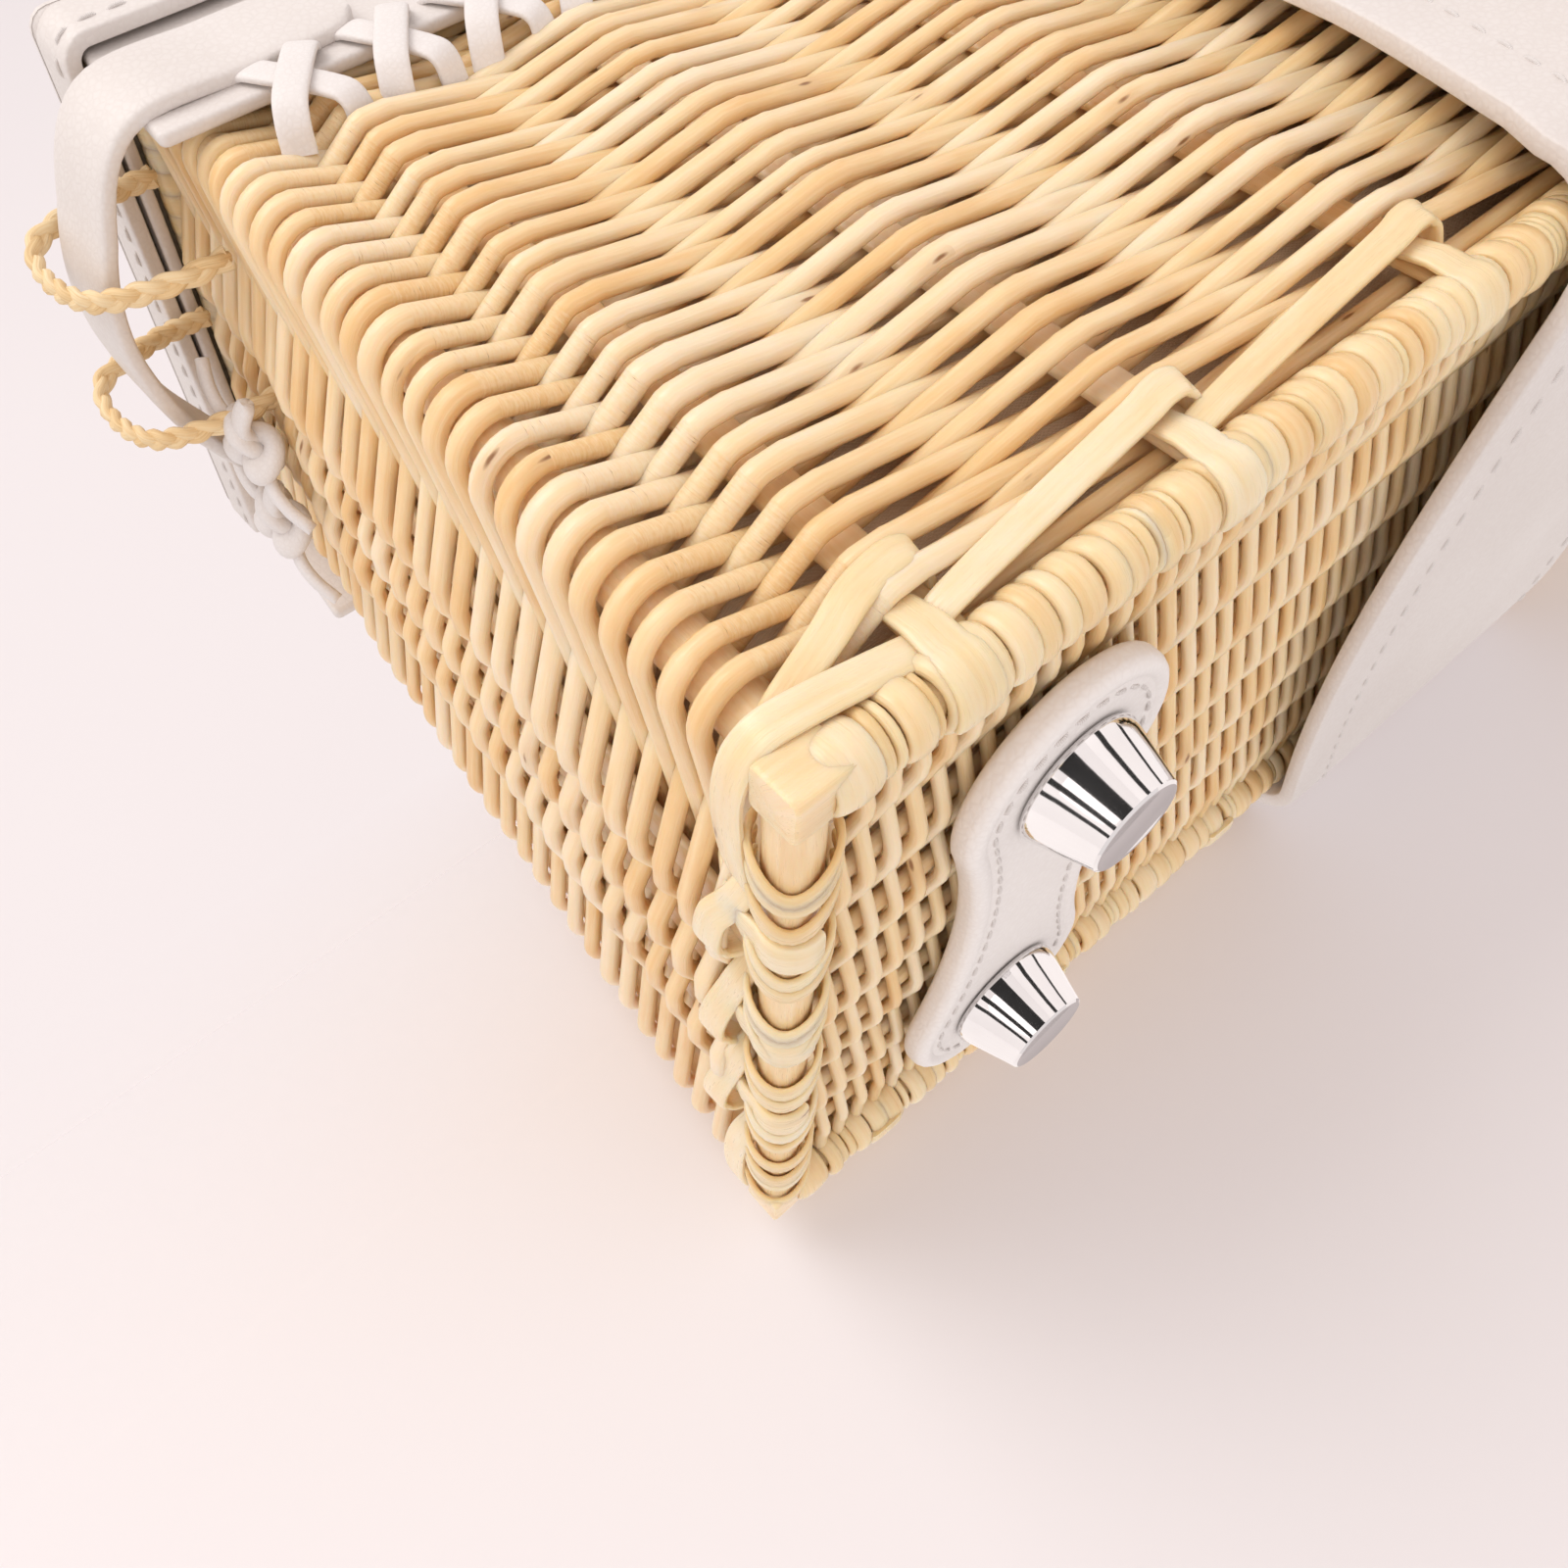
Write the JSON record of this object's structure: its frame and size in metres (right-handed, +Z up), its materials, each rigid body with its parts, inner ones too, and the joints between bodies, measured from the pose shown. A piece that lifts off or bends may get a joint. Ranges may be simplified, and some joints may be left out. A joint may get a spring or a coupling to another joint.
{
  "type": "wicker handbag",
  "caption": "Wicker box handbag of peeled willow with white leather lid, laced collar, under-base band, end straps, swinging top handle and chrome feet.",
  "frame": {"origin": "on the surface the bag stands on, at the middle of its outer box", "axes": "+X along the bag's width to its right end, -Y out of its front face, +Z up"},
  "size_m": [0.307, 0.123, 0.2628],
  "materials": {
    "willow_weave": "peeled willow weavers, satin",
    "willow_rod": "peeled willow rods, satin",
    "white_leather": "cool white grained leather, semi-matt",
    "lace_leather": "thin white leather lace, smooth",
    "straw": "braided straw, matt",
    "lining_cloth": "plain cotton lining, matt",
    "board": "pressed board stiffener, matt",
    "chrome": "polished chrome"
  },
  "bodies": {
    "basket": {"back_collar": "white_leather", "back_lacing": "lace_leather", "back_weave": "willow_weave", "base_border_back": "willow_rod", "base_border_front": "willow_rod", "base_border_left": "willow_rod", "base_border_right": "willow_rod", "base_weave": "willow_weave", "centre_band": "white_leather", "corner_post_left_back": "willow_rod", "corner_post_left_front": "willow_rod", "corner_post_right_back": "willow_rod", "corner_post_right_front": "willow_rod", "end_strap_left": "white_leather", "end_strap_right": "white_leather", "foot_left_back": "chrome", "foot_left_front": "chrome", "foot_nut_left_back": "chrome", "foot_nut_left_front": "chrome", "foot_nut_right_back": "chrome", "foot_nut_right_front": "chrome", "foot_pad_left": "white_leather", "foot_pad_right": "white_leather", "foot_right_back": "chrome", "foot_right_front": "chrome", "front_collar": "white_leather", "front_lacing": "lace_leather", "front_weave": "willow_weave", "lace_knot_left_back": "lace_leather", "lace_knot_left_front": "lace_leather", "lace_knot_right_back": "lace_leather", "lace_knot_right_front": "lace_leather", "left_binding": "white_leather", "left_weave": "willow_weave", "lining": "lining_cloth", "right_binding": "white_leather", "right_weave": "willow_weave", "rim_rod_back": "willow_rod", "rim_rod_front": "willow_rod", "rim_rod_left": "willow_rod", "rim_rod_right": "willow_rod", "snap_keeper": "chrome", "straw_loop_left_back": "straw", "straw_loop_left_front": "straw", "straw_loop_right_back": "straw", "straw_loop_right_front": "straw"},
    "lid": {"lid_cover": "white_leather", "lid_board": "board", "handle_tab_left": "white_leather", "handle_tab_right": "white_leather", "handle_bracket_left": "chrome", "handle_bracket_right": "chrome"},
    "tongue": {"tongue": "white_leather", "snap_magnet": "chrome", "snap_cap": "chrome"},
    "handle": {"handle_grip": "white_leather", "handle_end_left": "chrome", "handle_end_right": "chrome"}
  },
  "joints": [
    {"name": "lid_hinge", "type": "hinge", "parent": "basket", "child": "lid", "pos_m": [0, 0.0445, 0.1634], "axis": [-1, 0, 0], "range_deg": [0, 110]},
    {"name": "tongue_fold", "type": "hinge", "parent": "lid", "child": "tongue", "pos_m": [0, -0.0475, 0.1685], "axis": [-1, 0, 0], "range_deg": [0, 100]},
    {"name": "handle_swing", "type": "hinge", "parent": "lid", "child": "handle", "pos_m": [0, 0, 0.1816], "axis": [1, 0, 0], "range_deg": [-80, 80]}
  ]
}
